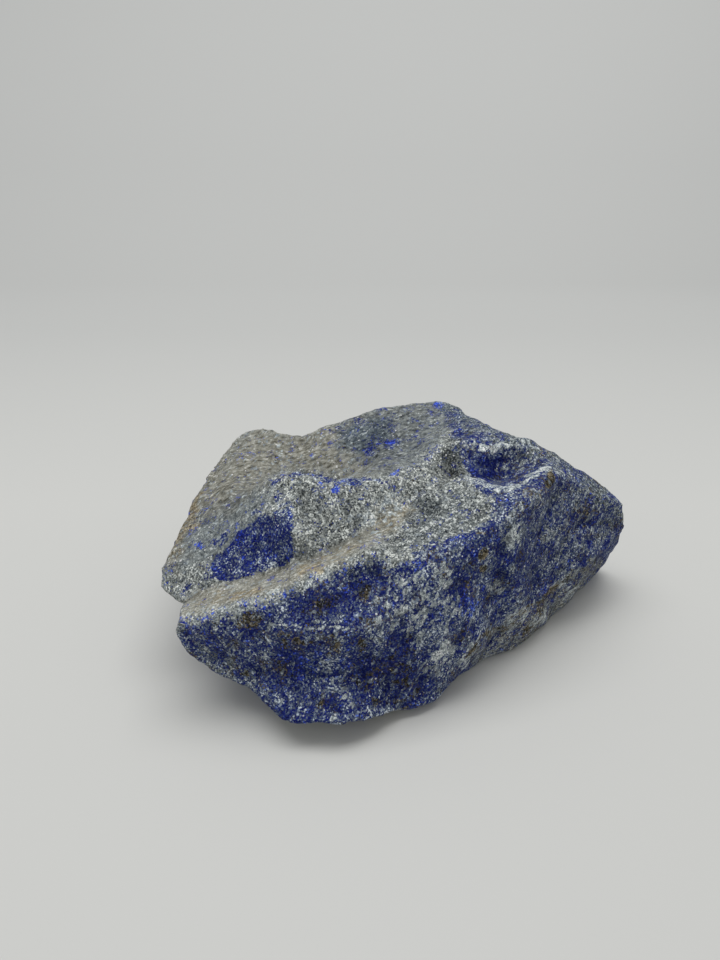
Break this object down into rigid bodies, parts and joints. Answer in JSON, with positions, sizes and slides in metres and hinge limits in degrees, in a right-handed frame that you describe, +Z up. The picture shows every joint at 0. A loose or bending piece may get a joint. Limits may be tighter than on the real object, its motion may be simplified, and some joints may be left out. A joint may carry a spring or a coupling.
{
  "type": "rough lapis lazuli specimen",
  "caption": "Rough broken lump of lapis lazuli with a ledge, a wedge-shaped upper block, a hollow top and a pointed right end, resting on a flat underside.",
  "frame": {"origin": "on the floor under the middle of the stone's bounding box", "axes": "+X along the stone's length, towards its pointed end; +Y from the front with the ledge to the back; +Z up"},
  "size_m": [0.1238, 0.0904, 0.0485],
  "materials": {
    "lapis_rock": "matte"
  },
  "bodies": {
    "root": {"lapis_stone": "lapis_rock"}
  },
  "joints": []
}
